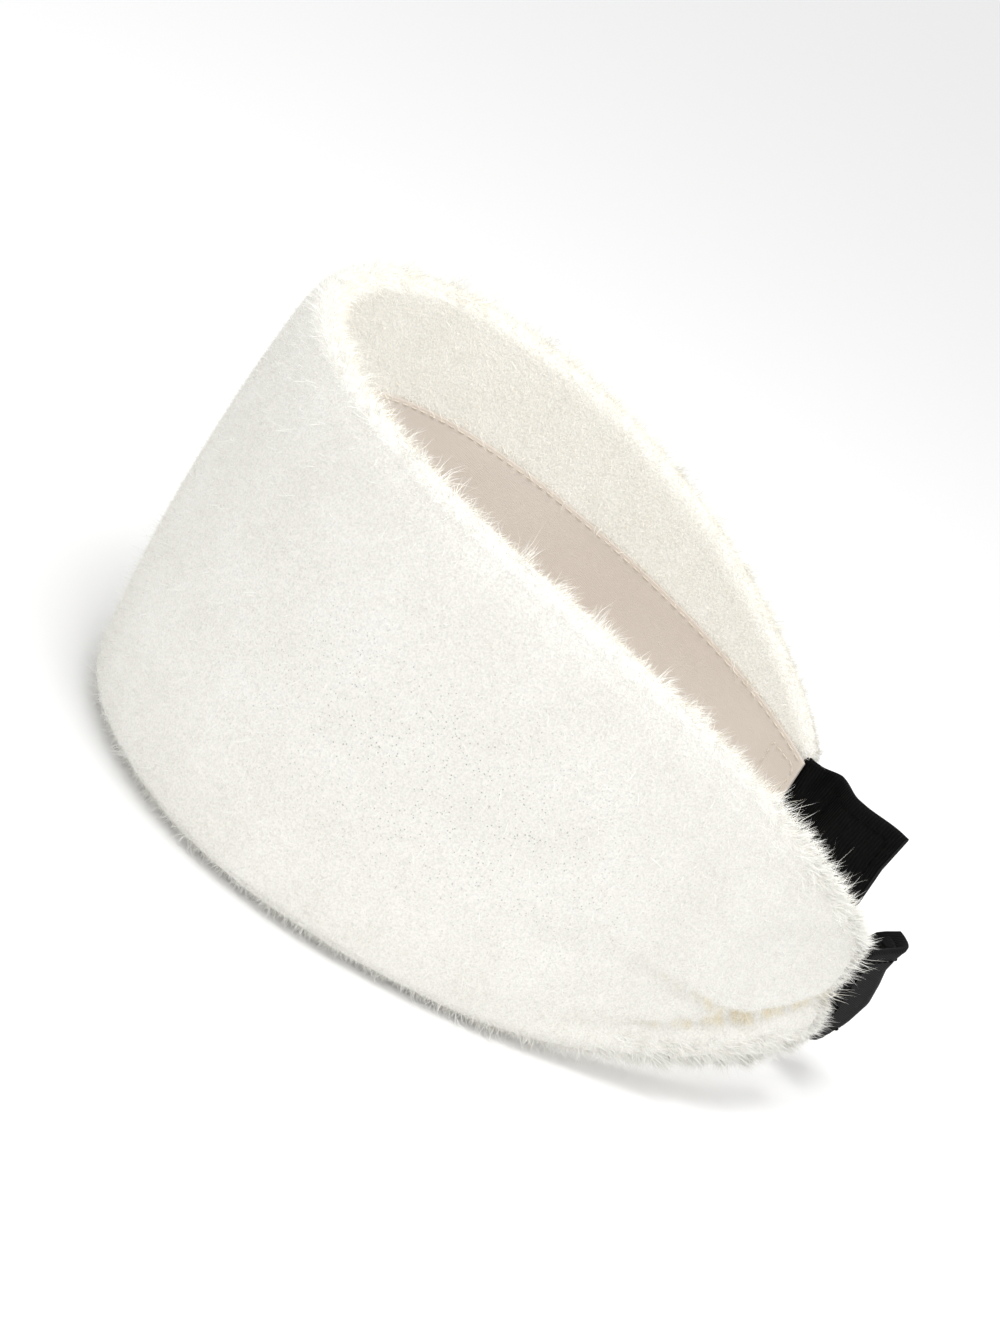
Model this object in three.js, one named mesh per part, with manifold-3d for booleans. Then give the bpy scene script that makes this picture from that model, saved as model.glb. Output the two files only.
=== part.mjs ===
// A spa headband: a wide padded plush band, open at the back, with two fastening tabs.
//
// Millimetres, +Z up. The band stands on its lower edge. The forehead faces -Y, the opening faces +Y
// and the wearer's left is +X. Each piece is laid out along a plan line, seen from above: a place on a
// piece is a distance along that line, an offset outward from it and a height.

import * as THREE from 'three';
import { mergeVertices } from 'three/addons/utils/BufferGeometryUtils.js';
import Module from 'manifold-3d';

const wasm = await Module();
wasm.setup();

// ---- Driving dimensions ----

// Plan of the band's middle line, from the front centre to one end: three arcs that run on smoothly.
const foreheadRadius = 67;
const foreheadSweep = THREE.MathUtils.degToRad(82);
const templeRadius = 147;
const templeSweep = THREE.MathUtils.degToRad(33);
const napeRadius = 67;
const napeSweep = THREE.MathUtils.degToRad(21);

// Side outline: the upper edge falls from the crown to the ends, and the lower edge rises near them.
const crownHeight = 102;
const endBottom = 16;
const endLip = 1.5;
const topPower = 2.7;
const flatReach = 120;
const risePower = 1.8;
const endCornerRadius = 2.5;

// Plush cover, a C-shaped sleeve that wraps the padding and returns to the lining.
const bandThickness = 8;
const crownBulge = 3;
const edgeRadius = 3;
const coverWall = 1.6;

// Lining, spring stay and foam, from the head outward.
const liningThickness = 1;
const liningCrownHeight = 44;
const liningEndHeight = 21;
const stayThickness = 1;
const stayCrownHeight = 28;
const stayEndHeight = 14;
const threadWidth = 0.8;
const threadThickness = 0.6;

// Fastening tabs: a strap sewn into each end, with a hook or a loop patch on it.
const strapWidth = 25;
const strapThickness = 1.6;
const strapAnchorLength = 12;
const strapAnchorShows = 1;
const rightStrapLength = 30;
const leftStrapStraight = 12;
const leftStrapCurlRadius = 8;
const leftStrapCurl = THREE.MathUtils.degToRad(130);
const patchThickness = 0.8;
const patchMargin = 1.5;
const patchSetback = 3;
const boxStitchLength = 8;
const stitchMargin = 1.5;

// Clearances.
const layerGap = 0.3;
const wingGap = 2.4;
const tabGap = 1.6;

// Spacing of the cross-sections along a plan line, and how finely a corner is rounded.
const sectionStep = 6;
const curlStep = 2;
const cornerSegments = 3;
const faceSegments = 6;
const cutMargin = 4;

// ---- Plan lines ----

// A line seen from above that starts at a point with a heading and runs through pieces of constant turn.
class PlanLine {
  constructor(start, heading, runs, step = sectionStep) {
    this.start = start;
    this.heading = heading;
    this.runs = runs;
    this.step = step;
    this.length = runs.reduce((sum, run) => sum + run.length, 0);
  }

  // The point, heading and outward direction at a distance along the line.
  at(distance) {
    let { x, y } = this.start;
    let heading = this.heading;
    let left = distance;
    this.runs.forEach((run, index) => {
      const last = index === this.runs.length - 1;
      const length = last ? left : Math.min(left, run.length);
      if (length === 0) return;
      const turn = (run.turn * length) / run.length;
      const chord = turn === 0 ? length : (2 * Math.sin(turn / 2) * length) / turn;
      x += chord * Math.cos(heading + turn / 2);
      y += chord * Math.sin(heading + turn / 2);
      heading += turn;
      left -= length;
    });
    return { x, y, heading, outX: Math.sin(heading), outY: -Math.cos(heading) };
  }
}

const halfBand = new PlanLine({ x: 0, y: 0 }, 0, [
  { length: foreheadRadius * foreheadSweep, turn: foreheadSweep },
  { length: templeRadius * templeSweep, turn: templeSweep },
  { length: napeRadius * napeSweep, turn: napeSweep },
]);
const reach = halfBand.length;
const hingeReach = foreheadRadius * foreheadSweep;

// The whole band's line: negative distances are the mirrored right half.
const bandLine = {
  step: sectionStep,
  at(distance) {
    const place = halfBand.at(Math.abs(distance));
    if (distance >= 0) return place;
    return { x: -place.x, y: place.y, heading: -place.heading, outX: -place.outX, outY: place.outY };
  },
};

// ---- Side outline ----

const strapHeight = endBottom + endLip + strapWidth / 2;
const endTop = endBottom + strapWidth + 2 * endLip;

// How much the end's rounded corner takes off the edge, at a distance along the band.
function cornerDrop(distance) {
  const into = endCornerRadius - (reach - Math.abs(distance));
  if (into <= 0) return 0;
  return endCornerRadius - Math.sqrt(Math.max(endCornerRadius ** 2 - into ** 2, 0));
}

function topAt(distance) {
  const share = Math.abs(distance) / reach;
  return crownHeight - (crownHeight - endTop) * share ** topPower - cornerDrop(distance);
}

function bottomAt(distance) {
  const share = Math.max(Math.abs(distance) - flatReach, 0) / (reach - flatReach);
  return endBottom * share ** risePower + cornerDrop(distance);
}

function middleAt(distance) {
  return (topAt(distance) + bottomAt(distance)) / 2;
}

// A height that eases from its value at the crown to its value at the ends.
function tapered(atCrown, atEnd, distance) {
  const share = (Math.abs(distance) / reach) ** 2;
  return atCrown + (atEnd - atCrown) * share;
}

// How far the padded face stands proud, at a distance along the band and a height on it.
function bulgeAt(distance, height) {
  const fade = 1 - (distance / reach) ** 2;
  const half = (topAt(distance) - bottomAt(distance)) / 2;
  const up = THREE.MathUtils.clamp((height - middleAt(distance)) / half, -1, 1);
  return crownBulge * fade * (1 - up ** 2);
}

// ---- Solids ----

// Distances from one to another, evenly spaced and no further apart than the section step.
function stations(from, to, step = sectionStep) {
  const count = Math.ceil((to - from) / step);
  return Array.from({ length: count + 1 }, (_, index) => from + ((to - from) * index) / count);
}

// A closed solid through cross-sections. sectionAt gives each one as [outward, height] points, anticlockwise
// with outward to the right and height up, always with the same number of points.
function loft(line, distances, sectionAt) {
  const rings = distances.map((distance) => sectionAt(distance));
  const size = rings[0].length;
  const positions = [];
  rings.forEach((ring, index) => {
    const place = line.at(distances[index]);
    ring.forEach(([out, height]) => {
      positions.push(place.x + place.outX * out, place.y + place.outY * out, height);
    });
  });
  const triangles = [];
  for (let ring = 0; ring < rings.length - 1; ring += 1) {
    for (let point = 0; point < size; point += 1) {
      const next = (point + 1) % size;
      const a = ring * size + point;
      const b = ring * size + next;
      triangles.push(a, a + size, b + size, a, b + size, b);
    }
  }
  const cap = (ring, offset, flip) => {
    const outline = ring.map(([out, height]) => new THREE.Vector2(out, height));
    THREE.ShapeUtils.triangulateShape(outline, []).forEach(([a, b, c]) => {
      triangles.push(offset + a, offset + (flip ? c : b), offset + (flip ? b : c));
    });
  };
  cap(rings[0], 0, false);
  cap(rings[rings.length - 1], (rings.length - 1) * size, true);
  const geometry = new THREE.BufferGeometry();
  geometry.setAttribute('position', new THREE.Float32BufferAttribute(positions, 3));
  geometry.setIndex(triangles);
  return geometry;
}

// A rounded cross-section of the padded band. inner and outer are offsets of its two faces, margin is how
// far its edges lie inside the band's, and radius rounds its corners.
function padSection(distance, { inner, outer, margin, radius }) {
  const low = bottomAt(distance) + margin;
  const high = topAt(distance) - margin;
  const points = [];
  const corner = (centreOut, centreHeight, fromAngle) => {
    for (let step = 0; step <= cornerSegments; step += 1) {
      const angle = fromAngle + (Math.PI / 2) * (step / cornerSegments);
      points.push([centreOut + radius * Math.cos(angle), centreHeight + radius * Math.sin(angle)]);
    }
  };
  corner(outer - radius, low + radius, -Math.PI / 2);
  for (let step = 1; step < faceSegments; step += 1) {
    points.push([outer, low + radius + ((high - low - 2 * radius) * step) / faceSegments]);
  }
  corner(outer - radius, high - radius, 0);
  corner(inner + radius, high - radius, Math.PI / 2);
  corner(inner + radius, low + radius, Math.PI);
  const middle = (inner + outer) / 2;
  return points.map(([out, height]) => {
    const share = Math.max((out - middle) / (outer - middle), 0);
    return [out + share * bulgeAt(distance, height), height];
  });
}

// A flat strip's cross-section between two offsets and two heights.
function stripSection(inner, outer, low, high) {
  return [
    [outer, low],
    [outer, high],
    [inner, high],
    [inner, low],
  ];
}

// A geometry as a manifold solid, and back.
function toSolid(geometry) {
  const merged = mergeVertices(geometry);
  return new wasm.Manifold(
    new wasm.Mesh({
      numProp: 3,
      vertProperties: Float32Array.from(merged.attributes.position.array),
      triVerts: Uint32Array.from(merged.index.array),
    }),
  );
}

function toGeometry(solid) {
  const mesh = solid.getMesh();
  const geometry = new THREE.BufferGeometry();
  geometry.setAttribute('position', new THREE.BufferAttribute(mesh.vertProperties, mesh.numProp));
  geometry.setIndex(new THREE.BufferAttribute(mesh.triVerts, 1));
  return geometry;
}

function cut(geometry, ...cutters) {
  return toGeometry(cutters.reduce((solid, cutter) => solid.subtract(toSolid(cutter)), toSolid(geometry)));
}

// The same piece on the other side of the head.
function mirrored(geometry) {
  const copy = geometry.clone();
  copy.scale(-1, 1, 1);
  const order = Array.from(copy.index.array);
  for (let start = 0; start < order.length; start += 3) {
    [order[start + 1], order[start + 2]] = [order[start + 2], order[start + 1]];
  }
  copy.setIndex(order);
  return copy;
}

// ---- Layers of the band, as offsets outward from its middle line ----

const coverInner = -bandThickness / 2;
const coverOuter = bandThickness / 2;
const liningOuter = coverInner + liningThickness;
const stayInner = liningOuter + layerGap;
const stayOuter = stayInner + stayThickness;
const strapInner = coverInner + coverWall + layerGap;
const strapOuter = strapInner + strapThickness;
const foamInner = stayOuter + layerGap;
const foamOuter = coverOuter - coverWall - layerGap;
const foamMargin = coverWall + layerGap;

// Where the layers stop at the end of the band.
const liningEnd = reach - coverWall - layerGap;
const anchorStart = reach - strapAnchorLength;
const paddingEnd = anchorStart - layerGap;

// ---- Pieces of the band, between two distances along it ----

function coverPiece(from, to) {
  const shell = { inner: coverInner, outer: coverOuter, margin: 0, radius: edgeRadius };
  const hollow = {
    inner: coverInner + coverWall,
    outer: coverOuter - coverWall,
    margin: coverWall,
    radius: edgeRadius - coverWall,
  };
  const closed = to >= reach;
  const hollowEnd = closed ? reach - coverWall : to + cutMargin;
  const hollowStart = from - cutMargin;
  const body = loft(bandLine, coverStations(from, to), (d) => padSection(d, shell));
  const cavity = loft(bandLine, stations(hollowStart, hollowEnd), (d) => padSection(d, hollow));
  const window = loft(bandLine, stations(hollowStart, hollowEnd), (d) => {
    const half = liningHalf(d) + layerGap;
    const inside = coverInner - cutMargin;
    return stripSection(inside, hollow.inner + layerGap, middleAt(d) - half, middleAt(d) + half);
  });
  if (!closed) return cut(body, cavity, window);
  const slotWidth = strapWidth + 2 * layerGap;
  const slotStart = hollowEnd - layerGap;
  const slotEnd = reach + cutMargin;
  const slot = strip(bandLine, slotStart, slotEnd, strapInner - layerGap, strapOuter + layerGap, slotWidth);
  return cut(body, cavity, window, slot);
}

// Sections for the cover, closer together over the rounded corner at the band's end.
function coverStations(from, to) {
  if (to < reach) return stations(from, to);
  const cornerStart = reach - endCornerRadius;
  const arc = Array.from({ length: cornerSegments }, (_, index) => {
    const angle = ((index + 1) / cornerSegments) * (Math.PI / 2);
    return cornerStart + endCornerRadius * Math.sin(angle);
  });
  return [...stations(from, cornerStart), ...arc];
}

function liningHalf(distance) {
  return tapered(liningCrownHeight, liningEndHeight, distance) / 2;
}

function liningPiece(from, to) {
  return loft(bandLine, stations(from, to), (d) => {
    const half = liningHalf(d);
    return stripSection(coverInner, liningOuter, middleAt(d) - half, middleAt(d) + half);
  });
}

function stayPiece(from, to) {
  return loft(bandLine, stations(from, to), (d) => {
    const half = tapered(stayCrownHeight, stayEndHeight, d) / 2;
    return stripSection(stayInner, stayOuter, middleAt(d) - half, middleAt(d) + half);
  });
}

function foamPiece(from, to) {
  const layer = {
    inner: foamInner,
    outer: foamOuter,
    margin: foamMargin,
    radius: edgeRadius - foamMargin,
  };
  return loft(bandLine, stations(from, to), (d) => padSection(d, layer));
}

// A line of thread that holds the lining's upper edge (side 1) or lower edge (side -1).
function threadPiece(from, to, side) {
  const outer = coverInner - layerGap;
  return loft(bandLine, stations(from, to), (d) => {
    const height = middleAt(d) + side * (liningHalf(d) - threadWidth);
    return stripSection(outer - threadThickness, outer, height - threadWidth / 2, height + threadWidth / 2);
  });
}

// The sewn end of a strap, inside the band's end seam.
function anchorPiece() {
  return strip(bandLine, anchorStart, reach + strapAnchorShows, strapInner, strapOuter, strapWidth);
}

// A box of stitches through the lining and the strap's sewn end, between the lining's two threads.
function boxStitchPiece() {
  const to = liningEnd - stitchMargin;
  const outer = coverInner - layerGap;
  const height = 2 * (liningHalf(to) - 2 * threadWidth - stitchMargin);
  const middle = middleAt(to - boxStitchLength / 2);
  return stitchFrame(bandLine, to - boxStitchLength, to, outer - threadThickness, outer, height, middle);
}

// ---- Tabs ----

// A strip of constant width that lies level about a middle height.
function strip(line, from, to, inner, outer, width, middle = strapHeight) {
  const low = middle - width / 2;
  const high = middle + width / 2;
  return loft(line, stations(from, to, line.step), () => stripSection(inner, outer, low, high));
}

// A rectangle of thread lying on a strip.
function stitchFrame(line, from, to, inner, outer, width, middle = strapHeight) {
  const plate = strip(line, from, to, inner, outer, width, middle);
  const holeWidth = width - 2 * threadWidth;
  const holeInner = inner - layerGap;
  const holeOuter = outer + layerGap;
  const hole = strip(line, from + threadWidth, to - threadWidth, holeInner, holeOuter, holeWidth, middle);
  return cut(plate, hole);
}

// A strap's own line starts on the band's line at its end, in the same direction.
function strapLine(runs, step) {
  const end = halfBand.at(reach);
  return new PlanLine({ x: end.x, y: end.y }, end.heading, runs, step);
}

const rightStrapLine = strapLine([{ length: rightStrapLength, turn: 0 }]);
const leftStrapLine = strapLine(
  [
    { length: leftStrapStraight, turn: 0 },
    { length: leftStrapCurlRadius * leftStrapCurl, turn: leftStrapCurl },
  ],
  curlStep,
);

// A strap with a patch on one face, towards the head (side -1) or away from it (side 1), and the patch's
// stitches where they come out on the other face.
function tabPieces(name, patchName, line, side) {
  const from = strapAnchorShows + tabGap;
  const patchFrom = from + patchSetback;
  const patchTo = line.length - patchMargin;
  const patchWidth = strapWidth - 2 * patchMargin;
  const onFace = (direction, thickness) => {
    const near = (direction > 0 ? strapOuter : strapInner) + direction * layerGap;
    return [near, near + direction * thickness].sort((a, b) => a - b);
  };
  const [patchIn, patchOut] = onFace(side, patchThickness);
  const [threadIn, threadOut] = onFace(-side, threadThickness);
  const stitchWidth = patchWidth - 2 * stitchMargin;
  const stitchFrom = patchFrom + stitchMargin;
  const stitchTo = patchTo - stitchMargin;
  return {
    [`${name}_strap`]: strip(line, from, line.length, strapInner, strapOuter, strapWidth),
    [`${name}_${patchName}`]: strip(line, patchFrom, patchTo, patchIn, patchOut, patchWidth),
    [`${name}_patch_stitch`]: stitchFrame(line, stitchFrom, stitchTo, threadIn, threadOut, stitchWidth),
  };
}

// ---- Assembly ----

const materials = {
  plush: { color: 0xf3f1ea, roughness: 0.95, metalness: 0 },
  foam: { color: 0xe9e2c8, roughness: 0.9, metalness: 0 },
  stay: { color: 0xd9d9d6, roughness: 0.45, metalness: 0 },
  satin: { color: 0xd6cdbe, roughness: 0.55, metalness: 0 },
  cream_thread: { color: 0xe6dfd2, roughness: 0.8, metalness: 0 },
  webbing: { color: 0x161616, roughness: 0.75, metalness: 0 },
  hook_loop: { color: 0x1c1c1c, roughness: 0.9, metalness: 0 },
  black_thread: { color: 0x0d0d0d, roughness: 0.6, metalness: 0 },
};

const headband = new THREE.Group();

function addPiece(name, geometry, materialName) {
  const flat = geometry.index ? geometry.toNonIndexed() : geometry;
  flat.computeVertexNormals();
  const mesh = new THREE.Mesh(flat, new THREE.MeshStandardMaterial(materials[materialName]));
  mesh.name = name;
  headband.add(mesh);
}

// The padded layers that the crown and both wings share.
function bandPieces(from, to) {
  const layersEnd = Math.min(to, liningEnd);
  const paddedEnd = Math.min(to, paddingEnd);
  return {
    cover: [coverPiece(from, to), 'plush'],
    foam: [foamPiece(from, paddedEnd), 'foam'],
    stay: [stayPiece(from, paddedEnd), 'stay'],
    lining: [liningPiece(from, layersEnd), 'satin'],
    upper_thread: [threadPiece(from, layersEnd, 1), 'cream_thread'],
    lower_thread: [threadPiece(from, layersEnd, -1), 'cream_thread'],
  };
}

const wingStart = hingeReach + wingGap / 2;
const crownEnd = hingeReach - wingGap / 2;

Object.entries(bandPieces(-crownEnd, crownEnd)).forEach(([name, [geometry, material]]) => {
  addPiece(`crown_${name}`, geometry, material);
});

const wingPieces = {
  ...bandPieces(wingStart, reach),
  strap_anchor: [anchorPiece(), 'webbing'],
  box_stitch: [boxStitchPiece(), 'cream_thread'],
};
Object.entries(wingPieces).forEach(([name, [geometry, material]]) => {
  addPiece(`left_${name}`, geometry, material);
  addPiece(`right_${name}`, mirrored(geometry), material);
});

const tabMaterials = ['webbing', 'hook_loop', 'black_thread'];
const leftTab = tabPieces('left_tab', 'hook_patch', leftStrapLine, -1);
Object.entries(leftTab).forEach(([name, geometry], index) => {
  addPiece(name, geometry, tabMaterials[index]);
});
const rightTab = tabPieces('right_tab', 'loop_patch', rightStrapLine, 1);
Object.entries(rightTab).forEach(([name, geometry], index) => {
  addPiece(name, mirrored(geometry), tabMaterials[index]);
});

// The origin is under the middle of the headband.
const bounds = new THREE.Box3().setFromObject(headband);
headband.position.y = -(bounds.min.y + bounds.max.y) / 2;
headband.position.x = -(bounds.min.x + bounds.max.x) / 2;

export default headband;
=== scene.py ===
"""A spa headband: ivory plush over padding, a beige satin lining and two black fastening tabs."""

import math
from collections import namedtuple
from functools import partial

import bpy
import numpy as np
from mathutils import Matrix, Vector


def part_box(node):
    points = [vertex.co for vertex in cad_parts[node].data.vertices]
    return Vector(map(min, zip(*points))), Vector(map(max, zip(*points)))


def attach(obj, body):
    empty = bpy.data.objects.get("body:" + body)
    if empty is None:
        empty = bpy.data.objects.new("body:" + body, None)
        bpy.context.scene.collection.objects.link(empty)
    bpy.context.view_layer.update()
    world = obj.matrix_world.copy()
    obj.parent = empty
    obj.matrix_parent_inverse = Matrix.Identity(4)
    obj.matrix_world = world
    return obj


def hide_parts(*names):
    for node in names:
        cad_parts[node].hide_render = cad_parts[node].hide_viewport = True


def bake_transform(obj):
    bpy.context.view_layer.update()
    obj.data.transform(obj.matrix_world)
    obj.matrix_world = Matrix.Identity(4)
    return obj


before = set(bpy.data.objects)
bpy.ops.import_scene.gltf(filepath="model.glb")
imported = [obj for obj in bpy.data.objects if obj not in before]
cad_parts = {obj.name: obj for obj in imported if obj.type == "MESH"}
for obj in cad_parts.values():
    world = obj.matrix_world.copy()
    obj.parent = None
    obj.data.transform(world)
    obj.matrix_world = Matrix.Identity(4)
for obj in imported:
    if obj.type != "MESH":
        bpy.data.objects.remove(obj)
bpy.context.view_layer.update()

MM = 0.001

# ---- Sizes shared with the CAD model, in metres ----

# The plan of the band's middle line on one side: three arcs, each (radius, sweep).
ARCS = (
    (67 * MM, math.radians(82)),
    (147 * MM, math.radians(33)),
    (67 * MM, math.radians(21)),
)
REACH = sum(radius * sweep for radius, sweep in ARCS)
HINGE_REACH = ARCS[0][0] * ARCS[0][1]
CROWN_HEIGHT = 102 * MM
END_TOP = 44 * MM
END_BOTTOM = 16 * MM
TOP_POWER = 2.7
FLAT_REACH = 120 * MM
RISE_POWER = 1.8
HALF_THICKNESS = 4 * MM
CROWN_BULGE = 3 * MM
FOAM_INNER = -1.4 * MM
STAY_INNER = -2.7 * MM
STAY_OUTER = -1.7 * MM
STAY_CROWN_HEIGHT = 28 * MM
STAY_END_HEIGHT = 14 * MM
LINING_CROWN_HEIGHT = 44 * MM
LINING_END_HEIGHT = 21 * MM
LINING_END = REACH - 2.8 * MM
STRAP_WIDTH = 25 * MM
STRAP_HALF = 0.8 * MM
STRAP_OFFSET = -1.3 * MM
STRAP_HEIGHT = (END_TOP + END_BOTTOM) / 2
STRAP_ANCHOR = 12 * MM
STRAP_LENGTH = 30 * MM
TAB_FLEX = 1.8 * MM
PATCH_START = 5.6 * MM
PATCH_END = 28.5 * MM
PATCH_WIDTH = 22 * MM
PATCH_THICKNESS = 0.8 * MM
STITCH_MARGIN = 1.5 * MM
BOX_STITCH_LENGTH = 8 * MM
FRONT_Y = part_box("crown_cover")[0][1] + HALF_THICKNESS + CROWN_BULGE

# ---- How the straps lie, by side: 1 is the wearer's left and -1 the right ----

STRAP_ROOT = (-2 * MM, 3 * MM)
STRAP_DROOP = {1: 2.4 * MM, -1: 0}
STRAP_LIFT = {1: -1.1 * MM, -1: 0.7 * MM}
CURL_RADIUS = 6.4 * MM
# Where the curl starts, at shares of the width from the lower edge. The starts are rounded results of
# an outline fit, not chosen by hand, and a formula should replace both rows.
CURL_SHARES = (0, 0.17, 0.38, 0.6, 0.76, 0.9, 1)
CURL_STARTS = (7 * MM, 15 * MM, 19 * MM, 18 * MM, 16.5 * MM, 18 * MM, 21 * MM)
FLARE_SPAN = (-1 * MM, 8 * MM)
LOWER_FLARE = 2 * MM
UPPER_FLARE = 1.7 * MM
# The wave's steps out from the head: how far, and the span of the strap's length for each.
WAVE_STEPS = (
    (2 * MM, *STRAP_ROOT),
    (-4 * MM, 3 * MM, 14 * MM),
    (2.4 * MM, 16 * MM, 28 * MM),
)
WAVE_PULL = 3.4 * MM
LEAN_SLOPE = 0.33
LEAN_HEIGHT = 3.5 * MM
LEAN_LENGTH = 4 * MM

# ---- Sizes of the soft surfaces ----

COVER_REACH = REACH - 2.5 * MM
COVER_HALF = 3.3 * MM
COVER_WALL = 1.2 * MM
RIM_INSET = 1.8 * MM
END_ROUNDING = 7 * MM
END_CORNER = 2.2 * MM
THINNEST_END = 0.03
SECTION_STEP = 3 * MM
SIDE_ROWS = 28
EDGE_ROWS = 10
TAB_FLEX_HALF_LENGTH = 3 * MM
CREASE_START = 128 * MM
CREASE_DEEPEST = 182 * MM
CREASE_LOW = 11 * MM
CREASE_RISE = 5 * MM
CREASE_RISE_START = 150 * MM
CREASE_DEPTH = 1.6 * MM
CREASE_WIDTH = 2.4 * MM
ROLL_SWELL = 1 * MM
PUCKER_START = (147 * MM, 28 * MM)
PUCKER_END = (182 * MM, 13 * MM)
PUCKER_DEPTH = 1.2 * MM
PUCKER_WIDTH = 2 * MM
PUCKER_FADE_IN = (PUCKER_START[0] - 14 * MM, PUCKER_END[0] - 8 * MM)
PUCKER_FADE_OUT = (PUCKER_END[0], PUCKER_END[0] + 8 * MM)
# The knit backing shows most at this reach, and fades over these sizes.
WORN_REACH = 95 * MM
WORN_LENGTH = 60 * MM
WORN_HEIGHT = 30 * MM
LINING_FACE = -HALF_THICKNESS
LINING_BACK = LINING_FACE + 0.7 * MM
LOWEST = 0.4 * MM
UV_SPAN = 240 * MM
MIX_SOCKETS = ("Factor_Float", "A_Color", "B_Color")

# ---- Stuffing ----

CLOTH_FRAMES = 20
CLOTH_SETTINGS = {
    "quality": 6,
    "mass": 0.2,
    "tension_stiffness": 25,
    "compression_stiffness": 12,
    "shear_stiffness": 6,
    "bending_stiffness": 0.6,
    "shrink_min": -0.03,
    "use_pressure": True,
    "uniform_pressure_force": 2,
}
MOST_PUFF = 1.6 * MM

# ---- Fibres ----

SEED = 7
PILE_SEED = 10
NAP_COUNT = 190000
NAP_LENGTH = (0.6 * MM, 1.3 * MM)
NAP_WIDTH = 0.13 * MM
NAP_ROOT = 0.15 * MM
FIBRE_ROOT = 0.2 * MM
CLUMP_KINDS = 4096
# A kind of longer fibre: how many on each half, their size, and how they clump and sweep.
Fibres = namedtuple("Fibres", "count length width clump gather sweep")
WISPS = Fibres(15000, (1.8 * MM, 4.4 * MM), 0.11 * MM, clump=2.2 * MM, gather=0.3, sweep=0.2)
TUFTS = {
    "left": Fibres(9000, (2.2 * MM, 4.6 * MM), 0.15 * MM, clump=2.8 * MM, gather=1.7, sweep=0.9),
    "right": Fibres(5000, (0.9 * MM, 1.6 * MM), 0.12 * MM, clump=1.6 * MM, gather=1, sweep=0.3),
}

# Where wisps and tufts grow: the rims' depth, and spans along the band.
WISP_RIM = 1.5 * MM
LINING_RIM = 1.2 * MM
LINING_SHARE = 0.3
FEW_OUTSIDE = 0.04
FEW_INSIDE = 0.01
BARE_END = (COVER_REACH - 16 * MM, COVER_REACH - 5 * MM)
TUFT_RIM = 2.5 * MM
TUFT_RIM_SPAN = (150 * MM, 185 * MM)
TUFT_END_SPAN = (COVER_REACH - 5 * MM, COVER_REACH - 1 * MM)
TUFT_ROLL_SPAN = (145 * MM, 165 * MM)
ROLL_HEIGHT = 9 * MM

# ---- Hook and loop tape ----

HOOK_ROWS = np.arange(6.8, 27.6, 1) * MM
HOOK_COLUMNS = np.arange(-9.5, 9.6, 1) * MM
LOOP_COUNT = 9000
LOOP_MARGIN = 0.6 * MM
# Each kind's height, thickness, curl along the strap and tangle.
PILE_SHAPES = {
    "hook": (1.0 * MM, 0.34 * MM, 1.4, 0),
    "loop": (0.9 * MM, 0.12 * MM, 1.2, 0.6),
}

# ---- Camera ----

CAMERA_AZIMUTH = 73.8
CAMERA_ELEVATION = 22.1
CAMERA_ROLL = 32.6
CAMERA_DISTANCE = 1.1
CAMERA_LENS = 137.1
CAMERA_TARGET = Vector((0, -0.0067, 0.0508))
CAMERA_SLIDE = (-0.01007, -0.00075)

# ---- Studio ----

FLOOR_HALF = 4
WORLD_STRENGTH = 0.8
LIGHT_TARGET = Vector((0, 0, 0.05))


# ---- The band's outline ----


def plan(distance):
    """Points on the band's middle line and the outward direction there, by distance from the front centre.
    Distances are positive on the wearer's left, and run on straight past the band's end."""
    distance = np.asarray(distance, float)
    side = np.where(distance < 0, -1.0, 1.0)
    left = np.abs(distance)
    x = np.zeros_like(left)
    y = np.full_like(left, FRONT_Y)
    heading = np.zeros_like(left)
    for radius, sweep in ARCS:
        turn = np.minimum(left, radius * sweep) / radius
        chord = 2 * radius * np.sin(turn / 2)
        x += chord * np.cos(heading + turn / 2)
        y += chord * np.sin(heading + turn / 2)
        heading += turn
        left = left - turn * radius
    x += left * np.cos(heading)
    y += left * np.sin(heading)
    return side * x, y, side * np.sin(heading), -np.cos(heading)


def place(distance, out, height):
    """Points in the frame, by distance along the band, offset outward from its middle line and height."""
    x, y, out_x, out_y = plan(distance)
    return np.stack(np.broadcast_arrays(x + out_x * out, y + out_y * out, height), -1)


def smooth(low, high, value):
    """0 below low, 1 above high and an even rise between them."""
    share = np.clip((value - low) / (high - low), 0, 1)
    return share * share * (3 - 2 * share)


def bell(value, width):
    """1 at 0 and falling away on both sides, over about that width."""
    return np.exp(-((value / width) ** 2))


def end_share(distance):
    """0 along the band and 1 at its end, rising over the rounding of the end."""
    return np.clip((np.abs(distance) - (COVER_REACH - END_ROUNDING)) / END_ROUNDING, 0, 1)


def corner_drop(distance):
    return END_CORNER * (1 - np.sqrt(1 - end_share(distance) ** 2))


def top_edge(distance):
    share = np.abs(distance) / REACH
    return CROWN_HEIGHT - (CROWN_HEIGHT - END_TOP) * share**TOP_POWER - corner_drop(distance)


def bottom_edge(distance):
    share = np.clip((np.abs(distance) - FLAT_REACH) / (REACH - FLAT_REACH), 0, 1)
    return END_BOTTOM * share**RISE_POWER + corner_drop(distance)


def middle(distance):
    return (top_edge(distance) + bottom_edge(distance)) / 2


def tapered_half(crown, end, distance):
    return (crown + (end - crown) * (np.abs(distance) / REACH) ** 2) / 2


def lining_half(distance):
    return tapered_half(LINING_CROWN_HEIGHT, LINING_END_HEIGHT, distance)


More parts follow.
